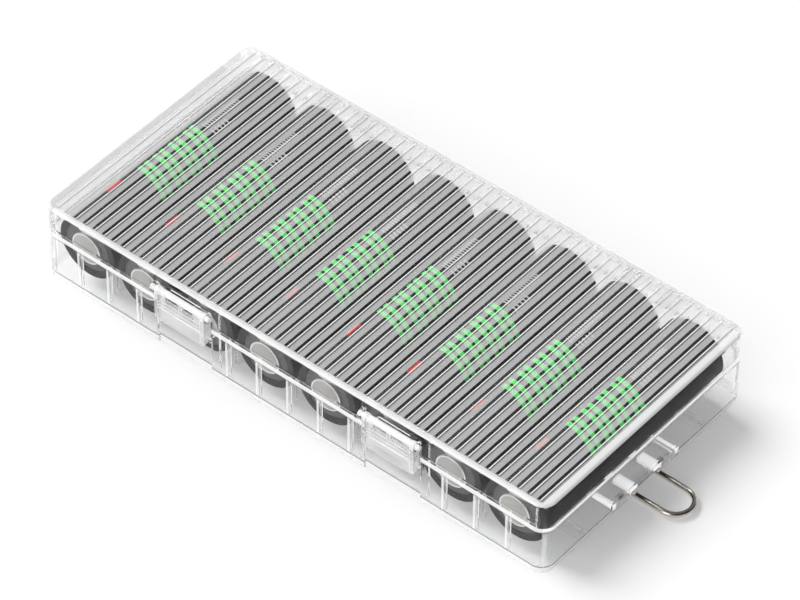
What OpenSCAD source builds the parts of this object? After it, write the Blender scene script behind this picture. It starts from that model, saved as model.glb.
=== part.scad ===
// Clear storage case for a row of round cells: hinged lid, two snap latches
// and a sliding wire hanger under the floor of one end.
// Millimetres. X runs along the row, the latches face -Y, Z is up.
// The origin is the centre of the case's footprint, on its underside.

/* [Cells] */
// Diameter of one wrapped cell
cell_d = 18.6; // [18:0.1:19.2]
// Length of the wrap on one cell
cell_len = 70.3; // [66:0.1:74]
// Space between neighbouring cells
cell_gap = 1.4; // [1.2:0.1:2.4]
// Thickness of the plastic wrap
wrap_t = 0.15; // [0.1:0.05:0.3]
// Diameter of the round hole that the wrap leaves at each end
wrap_mouth_d = 14.4; // [12:0.2:16]
// Diameter of the raised front terminal
terminal_d = 9.5; // [6:0.5:11]
// How far the front terminal stands out of the wrap
terminal_out = 0.5; // [0.2:0.1:0.8]
// Thickness of the insulating ring round the front terminal
insulator_t = 0.4; // [0.2:0.1:0.8]
// Thickness of the protection board at the back of a cell
board_t = 0.8; // [0.4:0.1:1.4]
// Thickness of the round plate that is the back terminal
back_plate_t = 0.5; // [0.3:0.1:0.8]

/* [Case] */
// Thickness of the side walls
wall = 1.6; // [1.4:0.1:2.4]
// Thickness of the floor
floor_t = 1.8; // [1.4:0.1:2.2]
// Thickness of the lid's top between its ribs
lid_t = 1; // [0.8:0.1:2]
// Radius of the upright corners
corner_r = 4; // [3:0.5:8]
// Radius of the edges round the underside and the top
edge_r = 1; // [0.5:0.1:1.4]
// Height of the parting line above the underside
split_z = 15.3; // [14.8:0.1:16]
// Gap between the two halves at the parting line
split_gap = 0.1; // [0.05:0.05:0.2]
// Space between the end walls and the outer cells
end_gap = 1.1; // [0.6:0.1:3]
// Space between the front wall and the wrap of the cells
front_gap = 2.6; // [2.2:0.1:5]
// Space between the back wall and the cells
back_gap = 4.3; // [4.3:0.1:7]
// Space between the floor and the cells
under_gap = 2.5; // [2.3:0.1:5]
// Space between the cells and the lid's top
over_gap = 0.3; // [0.3:0.1:2]
// Clearance between a loose piece and its seat
clearance = 0.3; // [0.2:0.05:0.35]

/* [Lip] */
// Height of the base's lip inside the lid
lip_h = 1.2; // [0.8:0.1:2]
// Thickness of the base's lip
lip_t = 0.7; // [0.5:0.05:0.8]
// Clearance between the lip and the lid
lip_clear = 0.15; // [0.1:0.05:0.25]

/* [Cell seats] */
// Thickness of the dividers between the cells
divider_t = 0.8; // [0.4:0.1:0.8]
// Height of the dividers above the underside
divider_top = 12; // [8:0.5:14]
// Gap between a divider and the rails that carry it
divider_seat = 0.05; // [0.02:0.01:0.1]
// Width of each of the two rails that carry the cells
rail_w = 2; // [1:0.5:4]
// Distance of each rail from the middle of a cell
rail_off = 24; // [18:1:28]
// Width of the upright ribs inside the front wall
front_rib_w = 0.6; // [0.4:0.1:1]
// Depth of the upright ribs inside the front wall
front_rib_depth = 0.6; // [0.4:0.1:1]
// Width of the short stops inside the back wall
stop_w = 1; // [0.6:0.1:2]
// Height of the back stops above the underside
back_stop_top = 8; // [5:0.5:8]

/* [Lid ribs] */
// Distance from rib to rib on the lid
rib_pitch = 3.2; // [2.8:0.1:5]
// Width of a rib at its foot
rib_w = 1.5; // [1:0.1:1.8]
// Width of a rib's flat top
rib_top_w = 1; // [0.5:0.1:1]
// Height of a rib
rib_h = 0.3; // [0.2:0.05:0.6]
// Least width of the flat strip outside the last rib
rib_margin = 2.8; // [2.5:0.1:6]
// Distance from a rib's end to the lid's edge
rib_inset = 1.7; // [1.5:0.1:4]

/* [Latches] */
// Distance of each latch from the middle of the front
latch_x = 34; // [26:0.5:50]
// Width of a latch over its side flanges
latch_w = 16.4; // [14:0.1:18]
// Height of a latch's bottom edge above the underside
latch_bottom = 10.4; // [8:0.1:10.5]
// Width of one side flange
flange_w = 1.2; // [0.8:0.1:1.6]
// Depth of the side flanges, front to back
flange_depth = 2.4; // [2.3:0.05:2.6]
// Thickness of the panel between the flanges
panel_t = 1.1; // [0.9:0.05:1.2]
// Radius of the panel's lower corners
panel_corner_r = 1.4; // [0.8:0.1:1.8]
// Radius of the round bar along the latch's top
bar_r = 0.9; // [0.8:0.05:1]
// Width of the latch's window, over the post in its middle
window_w = 10; // [8:0.1:11.5]
// Height of the latch's window, up to the bar
window_h = 1.9; // [1.2:0.1:2]
// Width of the post in the middle of the window
window_post_w = 1.2; // [0.8:0.1:2]
// Radius of the grip ridges across the panel
ridge_r = 0.35; // [0.2:0.05:0.45]
// Distance from one grip ridge to the next
ridge_pitch = 1.2; // [1:0.1:1.3]
// Depth of the bay that a latch lies in
bay_depth = 0.8; // [0.5:0.1:1]
// Space between a latch and each side of its bay
bay_side_gap = 0.85; // [0.6:0.05:1.2]
// Height of the latch's pivot above the underside
pivot_z = 20.6; // [20.2:0.1:21]
// Radius of the latch's trunnions
trunnion_r = 0.7; // [0.5:0.05:0.8]
// Width of an ear that holds a trunnion
ear_w = 1; // [0.8:0.1:1.2]
// Radius of an ear
ear_r = 1.3; // [1.2:0.05:1.4]
// Height of the ledge that the latch snaps under
catch_h = 1; // [0.6:0.1:1.2]
// Radial clearance of the pins in their bores
pin_clear = 0.05; // [0.03:0.01:0.1]

/* [Hinges] */
// Distance of each hinge from the middle of the back
hinge_x = 50; // [30:1:60]
// Radius of the hinge knuckles
knuckle_r = 2; // [1.7:0.1:2.4]
// Width of the lid's knuckle
lid_knuckle_w = 8; // [5:0.5:12]
// Width of each of the base's knuckles
base_knuckle_w = 4; // [3:0.5:6]
// Radius of the hinge pins moulded on the lid's knuckle
hinge_pin_r = 1.05; // [0.8:0.05:1.2]

/* [Hanger] */
// Radius of the hanger's wire
wire_r = 0.75; // [0.6:0.05:0.8]
// Distance from the middle to each leg of the hanger
leg_y = 4.8; // [4.5:0.1:7]
// Height of the wire's middle above the underside
wire_z = 1.4; // [1.35:0.05:1.5]
// How far the hanger stands out of the case
hanger_out = 14.8; // [12:0.2:18]
// Length of each foot, from its leg's middle outwards
foot_len = 4; // [3:0.5:6]
// Room in the pocket past the end of each foot
foot_room = 2; // [0:0.5:3]
// Radius of the bend between a leg and its foot
foot_bend_r = 1.5; // [1.2:0.1:2]
// Thickness of the roof over the hanger's pocket
pocket_roof_t = 1; // [0.8:0.1:1]
// Thickness of the plate under the hanger's legs
keeper_t = 0.45; // [0.3:0.05:0.45]
// Distance of that plate's edge inside the end wall's outer face
keeper_setback = 1.2; // [0.6:0.1:1.6]

/* [Hidden] */
$fn = 64;
// Overrun of a cut past the face that it opens
over = 0.5;
cell_count = 8;
cell_r = cell_d / 2;
cell_pitch = cell_d + cell_gap;
cell_z = floor_t + under_gap + cell_r;
// Gap between pieces that are packed inside one cell
pack_gap = 0.02;

case_len = cell_count * cell_d + (cell_count - 1) * cell_gap + 2 * (end_gap + wall);
case_wid = cell_len + front_gap + back_gap + 2 * wall;
inner_len = case_len - 2 * wall;
inner_wid = case_wid - 2 * wall;
inner_r = corner_r - wall;
front_y = -case_wid / 2;
back_y = case_wid / 2;
cell_front = front_y + wall + front_gap;
cell_back = cell_front + cell_len;
rail_top = cell_z - cell_r - clearance;
lid_z = split_z + split_gap;
lid_top = cell_z + cell_r + over_gap + lid_t;

// Each latch bay is cut into the front and pushes the wall inwards
bay_w = latch_w + 2 * bay_side_gap;
bay_floor_y = front_y + bay_depth;
pivot_y = front_y - bar_r;
latch_back_y = bay_floor_y - clearance - pin_clear;
flange_front_y = latch_back_y - flange_depth;
panel_front_y = flange_front_y + (flange_depth - panel_t) / 3;
panel_back_y = panel_front_y + panel_t;
catch_front_y = panel_back_y + clearance;
window_top = pivot_z - bar_r / 2;
window_bottom = pivot_z - bar_r - window_h;
ridge_top_z = window_bottom - 2 * ridge_r;
catch_top = lid_z - 2 * pin_clear - catch_h;
catch_bottom = catch_top - catch_h;
barb_top = catch_bottom - clearance;
recess_top = pivot_z + ear_r + clearance / 2;
ear_in = latch_w / 2 + clearance;

hinge_y = back_y + knuckle_r + clearance;
hinge_z = (split_z + lid_z) / 2;
hinge_bore_r = hinge_pin_r + pin_clear;

bend_x = case_len / 2 + hanger_out - wire_r - leg_y;
foot_x = case_len / 2 - wall - clearance - wire_r;
hanger_travel = hanger_out - 2 * wire_r - clearance;
pocket_y = leg_y + foot_len + foot_room + wire_r + clearance;
pocket_x = foot_x - hanger_travel - foot_bend_r - wire_r;
pocket_top = wire_z + wire_r + clearance;
guide_y = leg_y - wire_r - 3 / 2 * clearance;
guide_len = foot_x - wire_r - clearance - pocket_x;

function cell_x(number) = (number - (cell_count + 1) / 2) * cell_pitch;

// A box from its low corner to its high corner
module box(low, high) {
    translate(low) cube(high - low);
}

// Rectangle with round corners, centred on the origin
module round_plan(len, wid, r) {
    square([len - 2 * r, wid], center = true);
    square([len, wid - 2 * r], center = true);
    for (sx = [-1, 1], sy = [-1, 1])
        translate([sx * (len / 2 - r), sy * (wid / 2 - r)]) circle(r);
}

// Half section of a block whose top outer edge is rounded
module edge_section(r, height, edge) {
    square([r, height - edge]);
    square([r - edge, height]);
    translate([r - edge, height - edge]) circle(edge);
}

// Block with round upright corners and a rounded edge round its top
module soft_block(len, wid, height, r, edge) {
    flat_len = len - 2 * r;
    flat_wid = wid - 2 * r;
    translate([-flat_len / 2, -flat_wid / 2, 0]) cube([flat_len, flat_wid, height]);
    for (turn = [0, 180]) rotate(turn) {
        translate([-flat_len / 2, flat_wid / 2, 0])
            rotate([90, 0, 90]) linear_extrude(flat_len) edge_section(r, height, edge);
        translate([flat_len / 2, flat_wid / 2, 0])
            rotate([90, 0, 0]) linear_extrude(flat_wid) edge_section(r, height, edge);
        translate([flat_len / 2, flat_wid / 2, 0])
            rotate_extrude(angle = 90) edge_section(r, height, edge);
        translate([flat_len / 2, -flat_wid / 2, 0])
            rotate(-90) rotate_extrude(angle = 90) edge_section(r, height, edge);
    }
}

// The two latch places along the front
module at_latches() {
    for (side = [-1, 1]) translate([side * latch_x, 0, 0]) children();
}

// The two hinge places along the back
module at_hinges() {
    for (side = [-1, 1]) translate([side * hinge_x, 0, 0]) children();
}

// The cut of a latch bay into the front, from one height to another
module bay_cut(low_z, high_z) {
    at_latches() box([-bay_w / 2, front_y - over, low_z], [bay_w / 2, bay_floor_y, high_z]);
}

// The inward step of the wall behind a latch bay
module bay_step(low_z, high_z) {
    at_latches() box([-bay_w / 2 - wall, front_y + edge_r, low_z],
                     [bay_w / 2 + wall, bay_floor_y + wall, high_z]);
}

module base_shell() {
    difference() {
        translate([0, 0, split_z]) mirror([0, 0, 1])
            soft_block(case_len, case_wid, split_z, corner_r, edge_r);
        difference() {
            translate([0, 0, floor_t]) linear_extrude(split_z) round_plan(inner_len, inner_wid, inner_r);
            bay_step(0, split_z + floor_t + over);
        }
        bay_cut(-over, split_z + over);
    }
}

// The lip that keeps the closed lid in line, left out behind the latches
module base_lip() {
    difference() {
        translate([0, 0, split_z - lip_h]) linear_extrude(2 * lip_h)
            round_plan(inner_len + 2 * lip_t, inner_wid + 2 * lip_t, inner_r + lip_t);
        translate([0, 0, split_z - lip_h - over]) linear_extrude(2 * lip_h + 2 * over)
            round_plan(inner_len, inner_wid, inner_r);
        at_latches() box([-bay_w / 2 - wall - lip_t, front_y, split_z - lip_h - over],
                         [bay_w / 2 + wall + lip_t, front_y + 2 * wall, split_z + lip_h + over]);
    }
}

// A plate between two cells, standing on the rails
module divider(number) {
    color([0.93, 0.95, 0.96, 0.35]) translate([cell_x(number) + cell_pitch / 2, 0, 0])
        box([-divider_t / 2, cell_front, rail_top + divider_seat],
            [divider_t / 2, cell_back, divider_top]);
}

// Two low rails along the floor that carry the cells
module rails() {
    half_len = (case_len - wall) / 2;
    for (side = [-1, 1]) translate([0, (cell_front + cell_back) / 2 + side * rail_off, 0])
        box([-half_len, -rail_w / 2, floor_t / 2], [half_len, rail_w / 2, rail_top]);
}

// Upright ribs inside the front wall, at each cell and at each divider
module front_ribs() {
    for (place = [2 : 2 * cell_count]) translate([cell_x(place / 2), 0, 0])
        box([-front_rib_w / 2, front_y + wall / 2, floor_t / 2],
            [front_rib_w / 2, front_y + wall + front_rib_depth, split_z - lip_t]);
}

// Short stops inside the back wall that keep the cells from sliding
module back_stops() {
    for (number = [1 : cell_count]) translate([cell_x(number), 0, 0])
        box([-stop_w / 2, cell_back + clearance, floor_t / 2],
            [stop_w / 2, back_y - wall / 2, back_stop_top]);
}

// The ledges in the bays that the latches snap under
module catches() {
    half_w = latch_w / 2 - flange_w - clearance;
    at_latches() box([-half_w, catch_front_y, catch_bottom], [half_w, bay_floor_y + wall / 2, catch_top]);
}

module hinge_barrel(low_x, high_x, r) {
    translate([low_x, hinge_y, hinge_z]) rotate([0, 90, 0]) cylinder(h = high_x - low_x, r = r);
}

module base_knuckles() {
    inner = lid_knuckle_w / 2 + clearance;
    at_hinges() for (side = [0, 1]) mirror([side, 0, 0]) {
        hinge_barrel(inner, inner + base_knuckle_w, knuckle_r);
        box([inner, back_y - wall / 2, hinge_z - knuckle_r],
            [inner + base_knuckle_w, hinge_y, split_z - split_gap]);
    }
}

module base_hinge_bores() {
    half_w = lid_knuckle_w / 2 + clearance + base_knuckle_w + over;
    at_hinges() hinge_barrel(-half_w, half_w, hinge_bore_r);
}

// The raised roof over the hanger's pocket
module pocket_housing() {
    box([pocket_x - pocket_roof_t, -pocket_y - pocket_roof_t, floor_t / 2],
        [case_len / 2 - wall / 2, pocket_y + pocket_roof_t, pocket_top + pocket_roof_t]);
}

// The hanger's pocket and the notch in the end wall that its legs pass through
module pocket_cut() {
    notch_y = leg_y + wire_r + clearance;
    box([pocket_x, -pocket_y, -over], [case_len / 2 - wall, pocket_y, pocket_top]);
    box([case_len / 2 - wall - over, -notch_y, -over], [case_len / 2 + over, notch_y, pocket_top]);
}

// The guide between the legs, with a thin keeper plate that carries them
module hanger_guide() {
    keeper_y = leg_y + wire_r;
    box([pocket_x - pocket_roof_t / 2, -guide_y, 0],
        [pocket_x + guide_len, guide_y, pocket_top + pocket_roof_t / 2]);
    box([pocket_x + foot_bend_r, -keeper_y, 0],
        [case_len / 2 - keeper_setback, keeper_y, keeper_t]);
}

module base_tray() {
    color([0.93, 0.95, 0.96, 0.35]) difference() {
        union() {
            difference() {
                union() {
                    base_shell();
                    pocket_housing();
                }
                pocket_cut();
            }
            base_lip();
            rails();
            front_ribs();
            back_stops();
            catches();
            hanger_guide();
            base_knuckles();
        }
        base_hinge_bores();
    }
}

module lid_shell() {
    rise = lid_top - lid_z;
    rebate = 2 * (lip_t + lip_clear);
    difference() {
        translate([0, 0, lid_z]) soft_block(case_len, case_wid, rise, corner_r, edge_r);
        difference() {
            translate([0, 0, lid_z - over])
                soft_block(inner_len, inner_wid, rise - lid_t + over, inner_r, edge_r / 2);
            bay_step(0, lid_top);
        }
        difference() {
            translate([0, 0, lid_z - over]) linear_extrude(lip_h + lip_clear + over)
                round_plan(inner_len + rebate, inner_wid + rebate, inner_r + rebate / 2);
            bay_step(0, lid_top);
        }
        bay_cut(lid_z - over, recess_top);
    }
}

// Raised ribs along the lid's top, each with a narrow flat top
module lid_ribs() {
    rib_count = floor((case_len - 2 * rib_margin - rib_w) / rib_pitch) + 1;
    sink = lid_t / 2;
    for (rib = [0 : rib_count - 1])
        translate([(rib - (rib_count - 1) / 2) * rib_pitch, back_y - rib_inset, lid_top])
            rotate([90, 0, 0]) linear_extrude(case_wid - 2 * rib_inset)
                polygon([[-rib_w / 2, -sink], [rib_w / 2, -sink], [rib_w / 2, 0],
                         [rib_top_w / 2, rib_h], [-rib_top_w / 2, rib_h], [-rib_w / 2, 0]]);
}

module lid_ears() {
    at_latches() for (side = [0, 1]) mirror([side, 0, 0]) difference() {
        union() {
            translate([ear_in, pivot_y, pivot_z]) rotate([0, 90, 0]) cylinder(h = ear_w, r = ear_r);
            box([ear_in, pivot_y, pivot_z - ear_r], [ear_in + ear_w, bay_floor_y + wall / 2, pivot_z + ear_r]);
        }
        translate([ear_in - over, pivot_y, pivot_z]) rotate([0, 90, 0])
            cylinder(h = ear_w + 2 * over, r = trunnion_r + pin_clear);
    }
}

module lid_knuckles() {
    half_w = lid_knuckle_w / 2;
    pin_reach = half_w + clearance + base_knuckle_w;
    at_hinges() {
        hinge_barrel(-half_w, half_w, knuckle_r);
        hinge_barrel(-pin_reach, pin_reach, hinge_pin_r);
        box([-half_w, back_y - wall / 2, lid_z + split_gap], [half_w, hinge_y, hinge_z + knuckle_r]);
    }
}

module lid() {
    color([0.95, 0.97, 0.98, 0.35]) union() {
        lid_shell();
        lid_ribs();
        lid_ears();
        lid_knuckles();
    }
}

// Outline of a latch seen from the front, with round lower corners
module latch_face(low_z, high_z, half_w) {
    box_r = panel_corner_r;
    translate([-half_w, low_z + box_r]) square([2 * half_w, high_z - low_z - box_r]);
    translate([-half_w + box_r, low_z]) square([2 * (half_w - box_r), 2 * box_r]);
    for (side = [-1, 1]) translate([side * (half_w - box_r), low_z + box_r]) circle(box_r);
}

module latch_flanges() {
    for (side = [0, 1]) mirror([side, 0, 0]) {
        box([latch_w / 2 - flange_w, flange_front_y, latch_bottom + panel_corner_r],
            [latch_w / 2, latch_back_y, pivot_z]);
        translate([latch_w / 2 - flange_w, pivot_y, pivot_z]) rotate([0, 90, 0])
            cylinder(h = flange_w, r = pivot_y - flange_front_y);
    }
}

module latch_panel() {
    half_in = latch_w / 2 - flange_w / 2;
    difference() {
        translate([0, panel_back_y, 0]) rotate([90, 0, 0]) linear_extrude(panel_t)
            latch_face(latch_bottom, pivot_z, latch_w / 2);
        for (side = [0, 1]) mirror([side, 0, 0])
            box([window_post_w / 2, panel_front_y - over, window_bottom],
                [window_w / 2, panel_back_y + over, window_top]);
    }
    translate([-half_in, pivot_y, pivot_z]) rotate([0, 90, 0]) cylinder(h = 2 * half_in, r = bar_r);
    for (step = [0, 1, 2])
        translate([-half_in, panel_front_y, ridge_top_z - step * ridge_pitch]) rotate([0, 90, 0])
            cylinder(h = 2 * half_in, r = ridge_r);
}

// The barb behind the panel that snaps under the base's ledge
module latch_barb() {
    half_w = latch_w / 2 - flange_w - clearance;
    box([-half_w, panel_back_y - panel_t / 2, barb_top - catch_h], [half_w, latch_back_y, barb_top]);
}

module latch_trunnions() {
    reach = ear_in + ear_w;
    translate([-reach, pivot_y, pivot_z]) rotate([0, 90, 0]) cylinder(h = 2 * reach, r = trunnion_r);
}

module latch(side) {
    color([0.96, 0.97, 0.98, 0.5]) translate([side * latch_x, 0, 0]) {
        latch_flanges();
        latch_panel();
        latch_barb();
        latch_trunnions();
    }
}

// A quarter bend of the wire in the XY plane, round the origin
module wire_bend(r, sweep) {
    rotate_extrude(angle = sweep) translate([r, 0]) circle(wire_r);
}

module wire_hanger() {
    leg_start = foot_x + foot_bend_r;
    color([0.62, 0.6, 0.57]) translate([0, 0, wire_z]) {
        translate([bend_x, 0, 0]) rotate(-90) wire_bend(leg_y, 180);
        for (side = [0, 1]) mirror([0, side, 0]) {
            translate([leg_start, leg_y, 0]) rotate([0, 90, 0])
                cylinder(h = bend_x - leg_start, r = wire_r);
            translate([leg_start, leg_y + foot_bend_r, 0]) rotate(180) wire_bend(foot_bend_r, 90);
            translate([foot_x, leg_y + foot_bend_r, 0]) rotate([-90, 0, 0])
                cylinder(h = foot_len - foot_bend_r, r = wire_r);
        }
    }
}

// Puts a piece drawn along +Z on a cell's axis, with zero at the wrap's front
module on_cell(number) {
    translate([cell_x(number), cell_front, cell_z]) rotate([-90, 0, 0]) children();
}

// A flat round piece or ring on a cell, from one depth to another
module cell_disc(number, front, back, r, hole_r) {
    on_cell(number) translate([0, 0, front]) difference() {
        cylinder(h = back - front, r = r);
        if (hole_r > 0) translate([0, 0, -over]) cylinder(h = back - front + 2 * over, r = hole_r);
    }
}

insulator_front = wrap_t + pack_gap;
can_front = insulator_front + insulator_t + pack_gap;
plate_front = cell_len - wrap_t - back_plate_t;
board_front = plate_front - pack_gap - board_t;
can_r = cell_r - wrap_t - pack_gap;

module cell_wrap(number) {
    color([0.2, 0.2, 0.21]) on_cell(number) difference() {
        cylinder(h = cell_len, r = cell_r);
        translate([0, 0, wrap_t]) cylinder(h = cell_len - 2 * wrap_t, r = cell_r - wrap_t);
        translate([0, 0, -over]) cylinder(h = cell_len + 2 * over, r = wrap_mouth_d / 2);
    }
}

module cell_can(number) {
    color([0.66, 0.66, 0.67]) cell_disc(number, can_front, board_front - pack_gap, can_r, 0);
}

module cell_insulator(number) {
    color([0.32, 0.32, 0.33])
        cell_disc(number, insulator_front, insulator_front + insulator_t, can_r, terminal_d / 2 + pack_gap);
}

module cell_front_terminal(number) {
    color([0.82, 0.8, 0.77])
        cell_disc(number, -terminal_out, can_front - pack_gap, terminal_d / 2, 0);
}

module cell_board(number) {
    color([0.1, 0.3, 0.18]) cell_disc(number, board_front, plate_front - pack_gap, can_r, 0);
}

module cell_back_terminal(number) {
    color([0.78, 0.77, 0.75]) cell_disc(number, plate_front, cell_len, wrap_mouth_d / 2 - pack_gap, 0);
}

base_tray();
divider(1);  // divider_1
divider(2);  // divider_2
divider(3);  // divider_3
divider(4);  // divider_4
divider(5);  // divider_5
divider(6);  // divider_6
divider(7);  // divider_7
lid();
latch(-1);  // left_latch
latch(1);  // right_latch
wire_hanger();
cell_wrap(1);  // cell_1_wrap
cell_can(1);  // cell_1_can
cell_insulator(1);  // cell_1_insulator
cell_front_terminal(1);  // cell_1_front_terminal
cell_board(1);  // cell_1_board
cell_back_terminal(1);  // cell_1_back_terminal
cell_wrap(2);  // cell_2_wrap
cell_can(2);  // cell_2_can
cell_insulator(2);  // cell_2_insulator
cell_front_terminal(2);  // cell_2_front_terminal
cell_board(2);  // cell_2_board
cell_back_terminal(2);  // cell_2_back_terminal
cell_wrap(3);  // cell_3_wrap
cell_can(3);  // cell_3_can
cell_insulator(3);  // cell_3_insulator
cell_front_terminal(3);  // cell_3_front_terminal
cell_board(3);  // cell_3_board
cell_back_terminal(3);  // cell_3_back_terminal
cell_wrap(4);  // cell_4_wrap
cell_can(4);  // cell_4_can
cell_insulator(4);  // cell_4_insulator
cell_front_terminal(4);  // cell_4_front_terminal
cell_board(4);  // cell_4_board
cell_back_terminal(4);  // cell_4_back_terminal
cell_wrap(5);  // cell_5_wrap
cell_can(5);  // cell_5_can
cell_insulator(5);  // cell_5_insulator
cell_front_terminal(5);  // cell_5_front_terminal
cell_board(5);  // cell_5_board
cell_back_terminal(5);  // cell_5_back_terminal
cell_wrap(6);  // cell_6_wrap
cell_can(6);  // cell_6_can
cell_insulator(6);  // cell_6_insulator
cell_front_terminal(6);  // cell_6_front_terminal
cell_board(6);  // cell_6_board
cell_back_terminal(6);  // cell_6_back_terminal
cell_wrap(7);  // cell_7_wrap
cell_can(7);  // cell_7_can
cell_insulator(7);  // cell_7_insulator
cell_front_terminal(7);  // cell_7_front_terminal
cell_board(7);  // cell_7_board
cell_back_terminal(7);  // cell_7_back_terminal
cell_wrap(8);  // cell_8_wrap
cell_can(8);  // cell_8_can
cell_insulator(8);  // cell_8_insulator
cell_front_terminal(8);  // cell_8_front_terminal
cell_board(8);  // cell_8_board
cell_back_terminal(8);  // cell_8_back_terminal
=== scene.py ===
# %% [markdown]
# # A clear storage case for eight round cells
# The case is two clear moulded halves: a tray and a hinged lid with long ribs.
# Two clear latches close it, and a bent wire hanger stands out of one end.
# Inside lie eight cells in dark shrink wrap with nickel ends.
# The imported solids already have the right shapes, so this lesson is about finishes:
# clear plastic, frosted plastic, printed film, plated metal and bright wire.

# %% Load the frame
from math import cos, radians, sin

import bpy
from mathutils import Matrix, Vector


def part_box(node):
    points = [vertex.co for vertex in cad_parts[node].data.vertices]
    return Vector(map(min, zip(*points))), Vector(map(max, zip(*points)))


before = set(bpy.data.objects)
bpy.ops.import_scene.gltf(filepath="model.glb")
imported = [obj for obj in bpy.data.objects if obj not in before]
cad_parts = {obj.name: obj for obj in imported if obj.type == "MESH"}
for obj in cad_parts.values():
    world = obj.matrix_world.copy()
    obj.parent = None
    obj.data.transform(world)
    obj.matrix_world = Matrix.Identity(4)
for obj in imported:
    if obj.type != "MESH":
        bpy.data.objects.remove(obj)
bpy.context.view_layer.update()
mm = 0.001

# %% [markdown]
# The finishes need a few places on the object, such as where a rib runs.
# They could be typed by eye, but reading them from the solids keeps both in step.
# The node boxes give the cells' places, and the ribs repeat at a fixed distance.

# %% Places read from the solids
CELL_COUNT = 8
first_low, first_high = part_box("cell_1_wrap")
second_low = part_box("cell_2_wrap")[0]
lid_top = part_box("lid")[1].z
cell_pitch = second_low.x - first_low.x
cell_r = (first_high.x - first_low.x) / 2
cell_z = (first_high.z + first_low.z) / 2
rib_pitch = 3.2 * mm
rib_top_half = 0.5 * mm
rib_height = 0.3 * mm
print("cell pitch in mm", round(cell_pitch / mm, 2))
print("cell radius and axis height in mm", round(cell_r / mm, 2), round(cell_z / mm, 2))

# %% [markdown]
# Every finish is a small network of nodes.
# Wiring each one by hand would fill pages, so short helpers do the wiring.
# The first ones start a material and feed its sockets with a number or another output.

# %% Node helpers
def start_finish(name):
    """A new material with only an output, and its node tree."""
    finish = bpy.data.materials.new(name)
    finish.use_nodes = True
    tree = finish.node_tree
    tree.nodes.clear()
    tree.nodes.new("ShaderNodeOutputMaterial")
    return finish, tree


def feed(tree, socket, value):
    """Links an output to a socket, or sets a plain value."""
    if isinstance(value, bpy.types.NodeSocket):
        tree.links.new(value, socket)
    else:
        socket.default_value = value


def sums(tree, operation, *values):
    """One Math node. Values are numbers or outputs."""
    node = tree.nodes.new("ShaderNodeMath")
    node.operation = operation
    for socket, value in zip(node.inputs, values):
        feed(tree, socket, value)
    return node.outputs[0]


print("wiring helpers: start_finish, feed, sums")

# %% [markdown]
# A mark on a surface is a number that is 1 on it and 0 elsewhere, with a soft edge between.
# It could be painted in an image, but an image blurs when seen from close by.
# These helpers multiply and compare such numbers, mark a range and blend two colours.

# %% Sum helpers
NO_END = 9.0


def times(tree, *values):
    """Several numbers multiplied."""
    product = values[0]
    for value in values[1:]:
        product = sums(tree, "MULTIPLY", product, value)
    return product


def most(tree, *values):
    """The largest of several numbers."""
    largest = values[0]
    for value in values[1:]:
        largest = sums(tree, "MAXIMUM", largest, value)
    return largest


def above(tree, value, edge):
    """1 where value is over edge, else 0."""
    return sums(tree, "GREATER_THAN", value, edge)


def below(tree, value, edge):
    """1 where value is under edge, else 0."""
    return sums(tree, "LESS_THAN", value, edge)


def size_of(tree, value):
    """A number without its sign."""
    return sums(tree, "ABSOLUTE", value)


def rest_of(tree, share):
    """What is left of 1."""
    return sums(tree, "SUBTRACT", 1.0, share)


def blend_colours(tree, share, first, second):
    """Mixes two colours, each an output or four numbers."""
    node = tree.nodes.new("ShaderNodeMix")
    node.data_type = "RGBA"
    feed(tree, node.inputs["Factor"], share)
    feed(tree, node.inputs["A"], first)
    feed(tree, node.inputs["B"], second)
    return node.outputs["Result"]


def window(tree, value, low, high, soft):
    """1 where value lies between low and high, fading to 0 over soft on both sides."""
    parts = []
    for edge, sign in ((low, 1), (high, -1)):
        ramp = tree.nodes.new("ShaderNodeMapRange")
        ramp.interpolation_type = "SMOOTHSTEP"
        feed(tree, ramp.inputs["Value"], value)
        ramp.inputs["From Min"].default_value = edge - sign * soft / 2
        ramp.inputs["From Max"].default_value = edge + sign * soft / 2
        parts.append(ramp.outputs["Result"])
    return times(tree, *parts)


print("sum helpers: times, most, above, below, size_of, rest_of, blend_colours, window")

# %% [markdown]
# Real surfaces are never one even tone: plated metal has grain and plastic has flow marks.
# Images could carry such detail, but noise made by nodes needs no files and never repeats.
# These helpers find the place on the piece, draw noise out along the grain,
# and turn the result into roughness, colour or relief.

# %% Grain helpers
NOISE_MIDDLE = (0.3, 0.7)


def place_of(tree):
    """The point on the piece in its own frame: the whole vector, x, y and z."""
    point = tree.nodes.new("ShaderNodeTexCoord").outputs["Object"]
    split = tree.nodes.new("ShaderNodeSeparateXYZ")
    tree.links.new(point, split.inputs[0])
    return point, split.outputs[0], split.outputs[1], split.outputs[2]


def stretched_noise(tree, point, stretch, detail=3.0):
    """Noise that is drawn out along the directions where stretch is small."""
    mapping = tree.nodes.new("ShaderNodeMapping")
    tree.links.new(point, mapping.inputs["Vector"])
    mapping.inputs["Scale"].default_value = stretch
    noise = tree.nodes.new("ShaderNodeTexNoise")
    noise.inputs["Scale"].default_value = 1.0
    noise.inputs["Detail"].default_value = detail
    tree.links.new(mapping.outputs[0], noise.inputs["Vector"])
    return noise.outputs["Fac"]


def rescale(tree, value, low, high):
    """Spreads the middle of a noise over the range from low to high."""
    ramp = tree.nodes.new("ShaderNodeMapRange")
    feed(tree, ramp.inputs["Value"], value)
    ramp.inputs["From Min"].default_value = NOISE_MIDDLE[0]
    ramp.inputs["From Max"].default_value = NOISE_MIDDLE[1]
    ramp.inputs["To Min"].default_value = low
    ramp.inputs["To Max"].default_value = high
    return ramp.outputs["Result"]


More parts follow.
